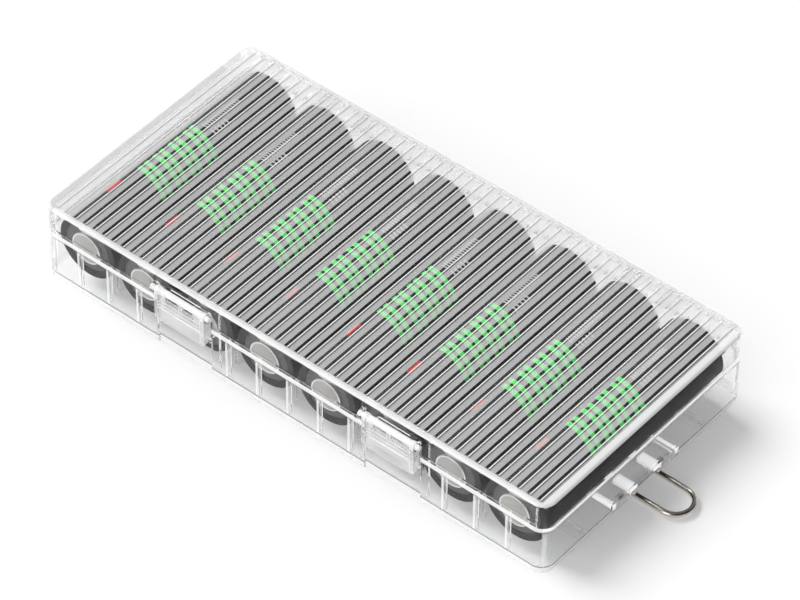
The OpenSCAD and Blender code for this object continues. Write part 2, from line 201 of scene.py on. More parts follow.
def principled(tree, **values):
    """A Principled shader with its sockets set by name, with _ for each space."""
    shader = tree.nodes.new("ShaderNodeBsdfPrincipled")
    for name, value in values.items():
        feed(tree, shader.inputs[name.replace("_", " ")], value)
    return shader


def bump(tree, height, distance, strength=1.0):
    """A normal that follows the ups and downs of height."""
    node = tree.nodes.new("ShaderNodeBump")
    node.inputs["Strength"].default_value = strength
    node.inputs["Distance"].default_value = distance
    tree.links.new(height, node.inputs["Height"])
    return node.outputs["Normal"]


def finish_off(tree, shader):
    """Links the last shader to the material's output."""
    tree.links.new(shader, tree.nodes["Material Output"].inputs["Surface"])


print("grain helpers: place_of, stretched_noise, rescale, principled, bump, finish_off")

# %% [markdown]
# The cut edges of clear plastic glow, because light is trapped inside the wall.
# Here that glow is a painted highlight: white painted along every sharp edge.
# A bevel in the mesh would catch real light at the edges, but it would alter the imported solids.
# The Bevel node only rounds the normal, so its turn away from the true normal marks where to paint.
# The ribs' slopes need the opposite: an even normal, or each one draws a dark line.

# %% Edges and level faces
EDGE_TURN = 0.06
EDGE_SOFT = 0.1
EDGE_SAMPLES = 8


def edge_glow(tree, radius):
    """1 near the sharp edges of a piece, where the rounded-off normal turns away from the true one; the
    painted edge highlight goes there.
    """
    rounded = tree.nodes.new("ShaderNodeBevel")
    rounded.samples = EDGE_SAMPLES
    rounded.inputs["Radius"].default_value = radius
    turn = tree.nodes.new("ShaderNodeVectorMath")
    turn.operation = "DOT_PRODUCT"
    tree.links.new(rounded.outputs[0], turn.inputs[0])
    tree.links.new(tree.nodes.new("ShaderNodeNewGeometry").outputs["Normal"], turn.inputs[1])
    bend = rest_of(tree, size_of(tree, turn.outputs["Value"]))
    return window(tree, bend, EDGE_TURN, NO_END, EDGE_SOFT)


def upright_normal(tree):
    """The piece's own upward direction, turned to the side that a ray comes from."""
    facing = tree.nodes.new("ShaderNodeNewGeometry").outputs["Backfacing"]
    sign = rest_of(tree, times(tree, facing, 2.0))
    local = tree.nodes.new("ShaderNodeCombineXYZ")
    feed(tree, local.inputs["Z"], sign)
    turned = tree.nodes.new("ShaderNodeVectorTransform")
    turned.vector_type = "NORMAL"
    turned.convert_from = "OBJECT"
    turned.convert_to = "WORLD"
    tree.links.new(local.outputs[0], turned.inputs[0])
    return turned.outputs[0]


print("an edge glows where its normal turns by a cosine of", 1 - EDGE_TURN)

# %% [markdown]
# Clear polystyrene is glass to a renderer: light bends as it enters and leaves.
# A thin see-through sheet would be quicker, but it loses the bright edges.
# Glass also throws hard shadows in a path tracer, so shadow and diffuse rays pass
# straight through here, and the cells inside get the light of the room.

# %% Clear plastic
CLEAREST = (0.99, 0.993, 0.995, 1)
LESS_CLEAR = (0.98, 0.983, 0.985, 1)
FROST = (0.9, 0.9, 0.905, 1)
# DARK_LINE is the colour of painted shade: thin dark lines in the clear plastic.
DARK_LINE = (0.16, 0.16, 0.16, 1)
WALL_TINT = (0.985, 0.985, 0.985, 1)
GLOSS_TINT = (0.22, 0.22, 0.22, 1)
FROST_ROUGH = 0.42
POLISH = (0.01, 0.04)
FLOW_MARKS = (60, 60, 60)
FLOW_DEEP = 0.02 * mm
FLOW_STRENGTH = 0.1
EDGE_WIDE = 0.25 * mm
DEEPEST_BEND = 6.5


def clear_plastic(name, marks, bending, glow=0.0):
    """Glass for moulded plastic. marks gives, from the place on the piece, a table of shares:
    dull (scatters light), white (frost, and painted highlights), shade (painted dark line), plain (passes
    light straight), level (seen as flat), light (painted glow: the wall gives off light there, as trapped
    light would) and calm (no painted highlight at the edges)."""
    finish, tree = start_finish(name)
    point, x, y, z = place_of(tree)
    flow = stretched_noise(tree, point, FLOW_MARKS)
    given = marks(tree, point, x, y, z)
    dull = given.get("dull", 0.0)
    white = given["white"]
    plain = given.get("plain", 0.0)
    # Painted highlight: the sharp edges get white paint, as much as the share glow.
    if glow:
        edge = edge_glow(tree, EDGE_WIDE)
        if "calm" in given:
            edge = times(tree, edge, rest_of(tree, given["calm"]))
        white = most(tree, white, times(tree, edge, glow))
        plain = times(tree, rest_of(tree, edge), plain)
    rough = most(tree, rescale(tree, flow, *POLISH), times(tree, dull, FROST_ROUGH))
    clear = most(tree, rest_of(tree, white), 0.0)
    colour = blend_colours(tree, rescale(tree, flow, 0.0, 1.0), CLEAREST, LESS_CLEAR)
    if "dull" in given:
        colour = blend_colours(tree, dull, colour, FROST)
    # Painted shade: dark lines are blended into the colour where the marks ask.
    if "shade" in given:
        colour = blend_colours(tree, given["shade"], colour, DARK_LINE)
    shader = principled(tree, Base_Color=colour, Roughness=rough, IOR=bending, Transmission_Weight=clear)
    shader.inputs["Specular Tint"].default_value = GLOSS_TINT
    # Painted glow: where the marks ask for light, the plastic gives off white light of its own.
    if "light" in given:
        shader.inputs["Emission Color"].default_value = (1, 1, 1, 1)
        feed(tree, shader.inputs["Emission Strength"], given["light"])
    normal = bump(tree, flow, FLOW_DEEP, FLOW_STRENGTH)
    if "level" in given:
        blend = tree.nodes.new("ShaderNodeMix")
        blend.data_type = "VECTOR"
        feed(tree, blend.inputs[0], given["level"])
        tree.links.new(normal, blend.inputs[4])
        tree.links.new(upright_normal(tree), blend.inputs[5])
        normal = blend.outputs[1]
    feed(tree, shader.inputs["Normal"], normal)
    through = tree.nodes.new("ShaderNodeBsdfTransparent")
    through.inputs["Color"].default_value = WALL_TINT
    path = tree.nodes.new("ShaderNodeLightPath")
    open_to = most(tree, path.outputs["Is Shadow Ray"], path.outputs["Is Diffuse Ray"],
                   above(tree, path.outputs["Ray Depth"], DEEPEST_BEND))
    if "plain" in given:
        open_to = most(tree, open_to, plain)
    mix = tree.nodes.new("ShaderNodeMixShader")
    tree.links.new(open_to, mix.inputs["Fac"])
    tree.links.new(shader.outputs[0], mix.inputs[1])
    tree.links.new(through.outputs[0], mix.inputs[2])
    finish_off(tree, mix.outputs[0])
    print(name, "made with", len(tree.nodes), "nodes")
    return finish


print("rays go straight on through clear plastic after", int(DEEPEST_BEND), "bends")

# %% [markdown]
# The plastic's white rims and frosted strips follow the walls of the case.
# They could be painted on unwrapped faces, but the walls are straight and level,
# so sums on the place along, across and above the floor find them exactly.
# These helpers mark the corners, the outer skin, the latch bays and the far walls.

# %% Places on the walls
OUTSIDE_X = 82.0 * mm
OUTSIDE_Y = 40.2 * mm
TRAY_TOP = 15.3 * mm
BAY_FLOOR_Y = -39.4 * mm
BAY_REACH = 3.5 * mm
BAY_HALF = 9.0 * mm
LATCH_X = 34.0 * mm
SIDE_WALL = 3.2 * mm
BACK_WALL = 2.6 * mm
INNER_WALL = 3.6 * mm
SKIN = 0.2 * mm
RIGHT_SKIN = 0.3 * mm
BAY_EDGE = 0.2 * mm
CORNER_CUT = 3.4 * mm
CORNER_REACH = 2.2 * mm
CORNER_HIGHLIGHT = 0.5
CORNER_LINE = (-0.5 * mm, 0.9 * mm)
SHARP = 0.1 * mm
SOFT = 0.15 * mm
BLURRED = 0.3 * mm
FAR_PLAIN = 0.6
BAY_PLAIN = 0.9


def corner_lines(tree, x, y):
    """1 on a thin upright line at the middle of each rounded corner."""
    offset = sums(tree, "SUBTRACT", size_of(tree, x), size_of(tree, y))
    middle = OUTSIDE_X - OUTSIDE_Y
    line = window(tree, offset, middle + CORNER_LINE[0], middle + CORNER_LINE[1], BLURRED)
    outermost = above(tree, size_of(tree, y), OUTSIDE_Y - CORNER_REACH)
    return times(tree, line, outermost)


def on_outer_skin(tree, x, y):
    """1 on the walls' outermost faces, so not in the latch bays, which lie deeper."""
    far_x = above(tree, size_of(tree, x), OUTSIDE_X - SKIN)
    far_y = above(tree, size_of(tree, y), OUTSIDE_Y - SKIN)
    across = sums(tree, "ADD", size_of(tree, x), size_of(tree, y))
    round_corner = above(tree, across, OUTSIDE_X + OUTSIDE_Y - CORNER_CUT)
    return most(tree, far_x, far_y, round_corner)


def in_latch_bay(tree, x, y, half_width):
    """1 in and behind the two latch bays of the front wall."""
    from_latch = sums(tree, "SUBTRACT", size_of(tree, x), LATCH_X)
    across = window(tree, from_latch, -half_width, half_width, BAY_EDGE)
    return times(tree, across, below(tree, y, BAY_FLOOR_Y + BAY_REACH))


def far_walls(tree, x, y):
    """1 on the left wall and the back wall."""
    return most(tree, below(tree, x, -OUTSIDE_X + SIDE_WALL), above(tree, y, OUTSIDE_Y - BACK_WALL))


def within_right_wall(tree, x):
    """1 inside the right wall, short of its outer skin."""
    return window(tree, x, OUTSIDE_X - INNER_WALL, OUTSIDE_X - RIGHT_SKIN, SHARP)


print("walls outside at x and y in mm", round(OUTSIDE_X / mm, 1), round(OUTSIDE_Y / mm, 1))

# %% [markdown]
# Under the floor, at the right end, lies the housing in which the hanger's feet slide.
# Its guides are thick and full of edges, so the real ones catch bright glints rather than look clear.
# Those glints are a painted highlight, white paint, with a little painted glow besides.
# They could be parts with a finish of their own, but they are moulded in one with the tray,
# so two shares pick them out: the whole housing, and the guides within it that get the painted highlight.

# %% The hanger's housing
HOUSING_START = 62.0 * mm
HOUSING_HALF = 13.2 * mm
HOUSING_TOP = 3.8 * mm
ROOF_OVER = 1.9 * mm
GUIDE_ACROSS = (3.3 * mm, 6.3 * mm)
GUIDE_ALONG = (75.5 * mm, 82.5 * mm)
SIDE_GUIDE = 11.8 * mm


def hanger_roof(tree, x, y, z):
    """The hanger's housing under the floor, and the share of it, its guides, that gets the painted highlight.
    """
    aside = size_of(tree, y)
    housing = times(tree, above(tree, x, HOUSING_START),
                    window(tree, y, -HOUSING_HALF, HOUSING_HALF, SHARP), below(tree, z, HOUSING_TOP))
    guides = times(tree, window(tree, aside, *GUIDE_ACROSS, SOFT), window(tree, x, *GUIDE_ALONG, SOFT))
    guides = most(tree, guides, window(tree, aside, SIDE_GUIDE, HOUSING_HALF, SOFT))
    return housing, times(tree, housing, guides, above(tree, z, ROOF_OVER))


print("hanger housing from x in mm", HOUSING_START / mm, "up to", round(HOUSING_TOP / mm, 1))

# %% [markdown]
# The tray's rims are where light that is trapped in the walls comes out, so they get a painted highlight:
# white paint.
# The same painted highlight goes on its corners, its thin front ribs and the guides of the hanger,
# and the guides get a little painted glow as well. Thin dark strips of painted shade lie under the top rim
# and over the foot.
# The rest stays clear, and parts with many small faces pass some light straight on,
# because a stack of bending faces would otherwise look black.

# %% Marks on the tray
RIM_HIGHLIGHT = 0.7
RIM_HIGH = 0.45 * mm
LINE_UNDER_RIM = 0.8 * mm
FOOT_HIGH = 2.3 * mm
FOOT_LINE_TOP = 2.7 * mm
FOOT_DEEP = 1.1 * mm
FRONT_RIB_PITCH = 10 * mm
FRONT_RIB_HALF = 0.35 * mm
FRONT_RIB_HIGHLIGHT = 0.75
FRONT_FACE = -OUTSIDE_Y + 0.05 * mm
RIBS_END = 75 * mm
ROOF_GLOW = 0.5
RAIL_LOW = 1.85 * mm
RAIL_TOP = 4.6 * mm
RAILS_HALF_X = 81.5 * mm
RAILS_HALF_Y = 36.8 * mm
BAY_LOW = 10.0 * mm
LIP_DEEP = 1.0 * mm
LIP_PLAIN = 0.95
THIN_SHADE = 0.6


def tray_marks(tree, point, x, y, z):
    """Painted highlights on the tray's rims, corners, front ribs and hanger guides, painted glow on the
    guides, and painted shade under the top rim and over the foot.
    """
    outer = most(tree, above(tree, size_of(tree, x), OUTSIDE_X - FOOT_DEEP),
                 above(tree, size_of(tree, y), OUTSIDE_Y - FOOT_DEEP))
    skin = on_outer_skin(tree, x, y)
    # Painted highlight: a white band along the top rim and another round the foot.
    top = times(tree, window(tree, z, TRAY_TOP - RIM_HIGH, TRAY_TOP + SHARP, SHARP), skin)
    foot = times(tree, window(tree, z, -1.0 * mm, FOOT_HIGH, BLURRED), outer)
    # Painted shade: a thin dark strip over the foot, and a fainter one under the top rim.
    foot_shade_line = times(tree, window(tree, z, FOOT_HIGH, FOOT_LINE_TOP, SOFT), outer)
    rim_shade_line = times(tree, window(tree, z, TRAY_TOP - LINE_UNDER_RIM, TRAY_TOP - RIM_HIGH, SOFT), skin)
    shade = most(tree, foot_shade_line, times(tree, rim_shade_line, THIN_SHADE))
    fold = sums(tree, "MODULO", sums(tree, "ADD", x, 10.5 * FRONT_RIB_PITCH), FRONT_RIB_PITCH)
    middle = FRONT_RIB_PITCH / 2
    # Painted highlight: a thin white upright on the front face at each inner rib.
    rib = times(tree, window(tree, fold, middle - FRONT_RIB_HALF, middle + FRONT_RIB_HALF, SHARP),
                window(tree, x, -RIBS_END, RIBS_END, mm),
                below(tree, y, FRONT_FACE))
    # Painted highlight: a white upright at each rounded corner.
    corner = times(tree, corner_lines(tree, x, y), CORNER_HIGHLIGHT)
    # Painted highlight on the hanger's guides, which also get a painted glow below.
    housing, guide_highlight = hanger_roof(tree, x, y, z)
    white = most(tree, times(tree, top, RIM_HIGHLIGHT), times(tree, foot, RIM_HIGHLIGHT),
                 times(tree, rib, FRONT_RIB_HIGHLIGHT), corner, times(tree, guide_highlight, RIM_HIGHLIGHT))
    bay = times(tree, in_latch_bay(tree, x, y, BAY_HALF), above(tree, z, BAY_LOW))
    rail = times(tree, window(tree, z, RAIL_LOW, RAIL_TOP, SHARP),
                 below(tree, size_of(tree, y), RAILS_HALF_Y),
                 window(tree, x, -RAILS_HALF_X, RAILS_HALF_X, SHARP))
    low_part = times(tree, most(tree, housing, rail), rest_of(tree, guide_highlight))
    low_part = most(tree, low_part, far_walls(tree, x, y))
    lip = times(tree, above(tree, z, TRAY_TOP - LIP_DEEP), within_right_wall(tree, x), rest_of(tree, skin))
    plain = most(tree, times(tree, bay, BAY_PLAIN), times(tree, low_part, FAR_PLAIN),
                 times(tree, lip, LIP_PLAIN))
    # Painted glow: the guides give off a little light of their own, so their painted white stays bright in
    # the cells' shadow.
    light = times(tree, guide_highlight, ROOF_GLOW)
    return {"white": white, "shade": shade, "plain": plain, "calm": lip, "light": light}


clear_tray = clear_plastic("clear tray", tray_marks, bending=1.18, glow=0.75)

# %% [markdown]
# The lid's top has polished ribs with frosted strips between them.
# On the mould the strips are etched, so the plastic there scatters light:
# dark cells turn grey behind it, while each rib still shows them sharp and dark.
# The strips repeat with the ribs, so a modulo of the place along the lid finds them.

# %% Ribs and strips of the lid
RIB_HIGHLIGHT_WIDE = 0.3 * mm
RIBS_HALF_X = 79.4 * mm
RIBS_HALF_Y = 38.6 * mm
FROST_GRAIN = (2500, 2500, 2500)
FROST_WHITE = (0.47, 0.56)
RIB_WHITE = 0.02
SLOPE = 0.36 * mm
UNDER_RIBS = 0.05 * mm
STRIP_SOFT = 0.06 * mm
LINE_SOFT = 0.05 * mm


def ribs_and_strips(tree, point, x, y, z):
    """Three shares of the lid's top: all of it, the frosted strips, and the white on it: frost, and a painted
    highlight beside each rib.
    """
    shifted = sums(tree, "ADD", x, 100.5 * rib_pitch)
    fold = sums(tree, "SUBTRACT", sums(tree, "MODULO", shifted, rib_pitch), rib_pitch / 2)
    ribbed = times(tree, above(tree, z, lid_top - rib_height - UNDER_RIBS),
                   window(tree, x, -RIBS_HALF_X, RIBS_HALF_X, SHARP),
                   window(tree, y, -RIBS_HALF_Y, RIBS_HALF_Y, SHARP))
    line_start = rib_top_half - rib_pitch / 2
    strip_end = rib_pitch / 2 - rib_top_half - SLOPE
    dull = times(tree, ribbed, window(tree, fold, line_start, strip_end, STRIP_SOFT))
    grain = rescale(tree, stretched_noise(tree, point, FROST_GRAIN), *FROST_WHITE)
    milk = most(tree, times(tree, dull, grain), times(tree, ribbed, RIB_WHITE))
    # Painted highlight: a thin white line along one side of each rib's flat top.
    lines = times(tree, ribbed, window(tree, fold, line_start - RIB_HIGHLIGHT_WIDE, line_start, LINE_SOFT))
    return ribbed, dull, most(tree, milk, lines)


print("ribs repeat every", round(rib_pitch / mm, 2), "mm, with a white line of", round(RIB_HIGHLIGHT_WIDE / mm, 2))

# %% [markdown]
# The lid's rim gets a painted highlight like the tray's, brightest at the front and the right,
# and a painted white band runs round it just over the tray, with painted highlights on its corners.
# Each latch grips a slot in the lid's front wall, which shows as painted shade, a dark line, under a painted
# highlight, a white one.
# The right wall is flat and polished, and the dark side of the last cell fills it,
# so it passes nearly all light straight on. Its lower edge has a painted glow, a little light of its own.

# %% Marks on the lid
RIM_FRONT_HIGHLIGHT = 0.78
RIM_RIGHT_HIGHLIGHT = 0.85
RIM_FAR_HIGHLIGHT = 0.6
RIM_DEEP = 0.5 * mm
FRONT_WIDE = 1.75 * mm
RIGHT_WIDE = 2.5 * mm
LEFT_WIDE = 2.3 * mm
BACK_WIDE = 1.5 * mm
LOW_BAND = 1.2 * mm
LOW_GLOW = 0.35
LIT_DEEP = 1.5 * mm
RIGHT_LOW = TRAY_TOP + 1.0 * mm
RIGHT_PLAIN = 0.97
RIGHT_SOFT = 0.2 * mm
BAY_TOP = 18.0 * mm
BAY_SKIN = 0.3 * mm
UNDER_RIM = lid_top - 1.1 * mm
SLOT_LOW = 19.0 * mm
SLOT_HIGH = 20.5 * mm
SLOT_EDGE_TOP = 21.3 * mm
SLOT_HALF = 5.0 * mm
SLOT_EDGE_HIGHLIGHT = 0.9


def lid_marks(tree, point, x, y, z):
    """The marks of the top, the painted highlights on the rims, the slots in painted shade, the painted glow
    and the straight right wall.
    """
    ribbed, dull, top_white = ribs_and_strips(tree, point, x, y, z)
    # Painted highlight: white on the rim round the top, stronger at the front and the right.
    high = above(tree, z, lid_top - rib_height - RIM_DEEP)
    front = times(tree, below(tree, y, -OUTSIDE_Y + FRONT_WIDE), RIM_FRONT_HIGHLIGHT)
    right = times(tree, above(tree, x, OUTSIDE_X - RIGHT_WIDE), RIM_RIGHT_HIGHLIGHT)
    left = times(tree, below(tree, x, -OUTSIDE_X + LEFT_WIDE), RIM_FAR_HIGHLIGHT)
    behind = times(tree, above(tree, y, OUTSIDE_Y - BACK_WIDE), RIM_FAR_HIGHLIGHT)
    rim = times(tree, high, most(tree, front, right, left, behind))
    skin = on_outer_skin(tree, x, y)
    # Painted highlight: a white band all round, just over the tray.
    low = times(tree, window(tree, z, TRAY_TOP, TRAY_TOP + LOW_BAND, SOFT), skin, RIM_RIGHT_HIGHLIGHT)
    # Painted glow: the band's right end gives off a little light of its own, so it stays bright though it
    # faces away from the key lamp.
    lit = times(tree, low, above(tree, x, OUTSIDE_X - LIT_DEEP))
    # Painted highlight: a white upright at each rounded corner.
    corner = times(tree, corner_lines(tree, x, y), CORNER_HIGHLIGHT)
    # Painted shade and highlight at each latch: a dark line for the gap of the slot, under a white line for
    # its edge.
    bay_face = times(tree, window(tree, y, BAY_FLOOR_Y - BAY_SKIN, BAY_FLOOR_Y + BAY_SKIN, SHARP),
                     in_latch_bay(tree, x, y, SLOT_HALF))
    slot_edge_highlight = times(tree, bay_face, window(tree, z, SLOT_HIGH, SLOT_EDGE_TOP, SHARP))
    slot = times(tree, bay_face, window(tree, z, SLOT_LOW, SLOT_HIGH, SHARP))
    white = most(tree, top_white, rim, low, corner, times(tree, slot_edge_highlight, SLOT_EDGE_HIGHLIGHT))
    bay = times(tree, in_latch_bay(tree, x, y, BAY_HALF), below(tree, z, BAY_TOP))
    right_wall = times(tree, above(tree, x, OUTSIDE_X - SIDE_WALL),
                       window(tree, z, RIGHT_LOW, UNDER_RIM, RIGHT_SOFT))
    inside = times(tree, within_right_wall(tree, x), below(tree, z, UNDER_RIM), rest_of(tree, skin))
    plain = most(tree, times(tree, bay, BAY_PLAIN), times(tree, far_walls(tree, x, y), FAR_PLAIN),
                 times(tree, most(tree, right_wall, inside), RIGHT_PLAIN))
    return {"dull": dull, "white": white, "shade": slot, "level": ribbed, "plain": plain,
            "light": times(tree, lit, LOW_GLOW)}


clear_lid = clear_plastic("ribbed lid", lid_marks, bending=1.2)

# %% [markdown]
# A latch is small and full of edges: a top bar, a window with two panes and three ridges.
# As plain glass it would be a dark tangle, while the real one looks milky with bright edges.
# So it scatters most of its light, and only the panes of its window stay clear.

# %% Marks on the latches
RIDGE_PITCH = 1.2 * mm
LOWEST_RIDGE = 14.7 * mm
RIDGE_LINE = (0.72 * mm, 0.92 * mm)
RIDGE_SHADE = 0.45
GRIP = (14.0 * mm, 17.6 * mm)
BAR_LOW = 19.6 * mm
OVER_BAR = 30.0 * mm
BAR_WHITER = 0.3
PANE_LOW = 17.7 * mm
PANE_PLAIN = 0.93
PANE_INNER = 0.65 * mm
PANE_OUTER = 5.05 * mm
LATCH_WHITE = 0.68
LATCH_PLAIN = 0.58


def latch_marks(tree, point, x, y, z):
    """A whiter bar at the top of the latch, a milky panel, and a grey line of painted shade under each grip
    ridge.
    """
    bar = times(tree, window(tree, z, BAR_LOW, OVER_BAR, SOFT), BAR_WHITER)
    fold = sums(tree, "MODULO", sums(tree, "SUBTRACT", z, LOWEST_RIDGE - 4 * RIDGE_PITCH), RIDGE_PITCH)
    # Painted shade: a grey line on the lower side of each grip ridge.
    line = times(tree, window(tree, fold, *RIDGE_LINE, 0.06 * mm), window(tree, z, *GRIP, SHARP))
    from_latch = size_of(tree, sums(tree, "SUBTRACT", size_of(tree, x), LATCH_X))
    pane = times(tree, window(tree, from_latch, PANE_INNER, PANE_OUTER, 0.03 * mm),
                 window(tree, z, PANE_LOW, BAR_LOW, 0.05 * mm))
    plain = most(tree, sums(tree, "SUBTRACT", LATCH_PLAIN, bar), times(tree, pane, PANE_PLAIN))
    white = sums(tree, "ADD", LATCH_WHITE, bar)
    return {"white": white, "shade": times(tree, line, RIDGE_SHADE), "plain": plain}


clear_latch = clear_plastic("clear latch", latch_marks, bending=1.12, glow=0.95)

# %% [markdown]
# The print on each cell is a charge gauge: slanted green bars in pairs, a red dash and ticks.
# It could be cut from thin pieces, but real ink has no thickness to see,
# so the film's own colour carries it, placed by the distance round and along the cell.
# One material serves all eight cells, because a modulo folds them onto each other.

# %% Printed gauge
PRINT_SOFT = 0.15 * mm
FINE_SOFT = 0.08 * mm
BAR_COUNT = 4
BAR_PITCH = 5.8 * mm
BAR_START = -14.3 * mm
BAR_LONG = 4.1 * mm
GAP_START = -12.8 * mm
GAP_LONG = 1.1 * mm
BAR_LEFT = -3.6 * mm
BAR_RIGHT = 8.6 * mm
BAR_SLANT = 0.2
DASH_LEFT = -5.0 * mm
DASH_ENDS = (-24.2 * mm, -19.4 * mm)
TICK_START = 9.0 * mm
TICK_ROW = (0.9 * mm, 0.5 * mm, 15)
TICKS_ROUND = (-1.2 * mm, 0.6 * mm)
SHORT_ROW = (1.3 * mm, 0.6 * mm, 5)
SHORT_ROUND = (1.8 * mm, 3.4 * mm)


def mark_row(tree, along, start, pitch, length, count, soft):
    """1 on each of a row of marks along the cell."""
    offset = sums(tree, "SUBTRACT", along, start)
    inside = window(tree, offset, 0.0, pitch * count, soft)
    fold = sums(tree, "MODULO", sums(tree, "ADD", offset, 50 * pitch), pitch)
    return times(tree, inside, window(tree, fold, soft, length, soft))


def round_cell(tree, x, z):
    """Place across and above the axis of the nearest cell, and the distance from it."""
    folded = sums(tree, "MODULO", sums(tree, "ADD", x, 10 * cell_pitch), cell_pitch)
    across = sums(tree, "SUBTRACT", folded, cell_pitch / 2)
    up = sums(tree, "SUBTRACT", z, cell_z)
    square = sums(tree, "ADD", times(tree, across, across), times(tree, up, up))
    return across, up, sums(tree, "SQRT", square)


def gauge_marks(tree, y, around):
    """The green bars, the red dash and the grey ticks, as three shares."""
    slant = sums(tree, "ADD", y, times(tree, around, BAR_SLANT))
    gaps = mark_row(tree, slant, GAP_START, BAR_PITCH, GAP_LONG, BAR_COUNT, PRINT_SOFT)
    bars = times(tree, mark_row(tree, slant, BAR_START, BAR_PITCH, BAR_LONG, BAR_COUNT, PRINT_SOFT),
                 window(tree, around, BAR_LEFT, BAR_RIGHT, 0.2 * mm), rest_of(tree, gaps))
    dash = times(tree, window(tree, y, *DASH_ENDS, PRINT_SOFT),
                 window(tree, around, DASH_LEFT, BAR_LEFT, PRINT_SOFT))
    ticks = times(tree, mark_row(tree, y, TICK_START, *TICK_ROW, FINE_SOFT),
                  window(tree, around, *TICKS_ROUND, SHARP))
    few = times(tree, mark_row(tree, y, TICK_START, *SHORT_ROW, FINE_SOFT),
                window(tree, around, *SHORT_ROUND, SHARP))
    return bars, dash, most(tree, ticks, few)


print("gauge of", BAR_COUNT, "pairs of bars, one pair every", round(BAR_PITCH / mm, 1), "mm")

# %% [markdown]
# The film is dark grey and slightly glossy, and drawn tight lengthwise as it shrinks.
# A flat dark colour would do from afar, but streaks along the cell and creases at its ends
# show that it is thin film. The creases fan out there, so their noise follows the angle alone.

# %% Shrink wrap
FILM_DARK = (0.012, 0.012, 0.0125, 1)
FILM_LIGHT = (0.026, 0.026, 0.0265, 1)
GREEN_INK = (0.09, 0.8, 0.14, 1)
RED_INK = (0.75, 0.04, 0.04, 1)
GREY_INK = (0.6, 0.6, 0.6, 1)
FILM_ROUGH = (0.36, 0.5)
FILM_GRAIN = (900, 12, 900)
FILM_GLOSS = 0.25
FILM_THICK = 0.08 * mm
CREASE_SCALE = 9.0
CREASE_DEEP = 0.1 * mm


def printed_film():
    """Dark film with the gauge on its outside and creases where it folds over the ends."""
    finish, tree = start_finish("shrink wrap")
    point, x, y, z = place_of(tree)
    across, up, radius = round_cell(tree, x, z)
    angle = sums(tree, "ARCTAN2", across, up)
    around = times(tree, angle, cell_r)
    outside = above(tree, radius, cell_r - FILM_THICK)
    streak = stretched_noise(tree, point, FILM_GRAIN)
    film = blend_colours(tree, rescale(tree, streak, 0.0, 1.0), FILM_DARK, FILM_LIGHT)
    for marks, ink in zip(gauge_marks(tree, y, around), (GREEN_INK, RED_INK, GREY_INK)):
        film = blend_colours(tree, times(tree, marks, outside), film, ink)
    shader = principled(tree, Base_Color=film, Roughness=rescale(tree, streak, *FILM_ROUGH))
    shader.inputs["Specular IOR Level"].default_value = FILM_GLOSS
    creases = tree.nodes.new("ShaderNodeTexNoise")
    creases.noise_dimensions = "1D"
    creases.inputs["Scale"].default_value = CREASE_SCALE
    feed(tree, creases.inputs["W"], angle)
    folded_end = times(tree, creases.outputs["Fac"], rest_of(tree, outside))
    relief = sums(tree, "ADD", times(tree, streak, 0.3), folded_end)
    feed(tree, shader.inputs["Normal"], bump(tree, relief, CREASE_DEEP, 0.3))
    finish_off(tree, shader.outputs[0])
    return finish


shrink_wrap = printed_film()
print(shrink_wrap.name, "made with", len(shrink_wrap.node_tree.nodes), "nodes")

# %% [markdown]
# The ends of a cell are nickel-plated steel, pressed, with a soft satin, in a grey fibre ring.
# Rings round the middle would suit a turned plate, but a pressed one shows straight grain,
# so the noise is drawn out one way. A ring at the plate's rim is lighter.
# The wire is drawn and polished, so its grain runs along it and it is the smoothest piece.

# %% Metal and board finishes
LIGHTER_RIM = (0.93, 0.92, 0.9, 1)
RIM_RADII = (4.35 * mm, 4.9 * mm)
RIM_LIGHTER = 0.8
GRAIN_DEEP = 0.01 * mm
SPECK_DEEP = 0.03 * mm
SPECK_ROUGH = 0.08


def metal_finish(name, dark, light, grain, rough_low, rough_high, rim=None):
    """Plated or drawn metal. rim lightens a ring between two radii round the axis of a cell."""
    finish, tree = start_finish(name)
    point, x, y, z = place_of(tree)
    streak = stretched_noise(tree, point, grain, 4.0)
    colour = blend_colours(tree, rescale(tree, streak, 0.0, 1.0), dark, light)
    if rim is not None:
        across, up, radius = round_cell(tree, x, z)
        ring = times(tree, window(tree, radius, *rim, SOFT), RIM_LIGHTER)
        colour = blend_colours(tree, ring, colour, LIGHTER_RIM)
    rough = rescale(tree, streak, rough_low, rough_high)
    shader = principled(tree, Base_Color=colour, Roughness=rough, Metallic=1.0)
    feed(tree, shader.inputs["Normal"], bump(tree, streak, GRAIN_DEEP, 0.2))
    finish_off(tree, shader.outputs[0])
    return finish


def matt_finish(name, dark, light, grain, roughness):
    """Fibre or board, speckled and dull."""
    finish, tree = start_finish(name)
    point, x, y, z = place_of(tree)
    speck = stretched_noise(tree, point, grain, 5.0)
    colour = blend_colours(tree, rescale(tree, speck, 0.0, 1.0), dark, light)
    rough = rescale(tree, speck, roughness - SPECK_ROUGH, roughness + SPECK_ROUGH)
    shader = principled(tree, Base_Color=colour, Roughness=rough)
    feed(tree, shader.inputs["Normal"], bump(tree, speck, SPECK_DEEP, 0.4))
    finish_off(tree, shader.outputs[0])
    return finish


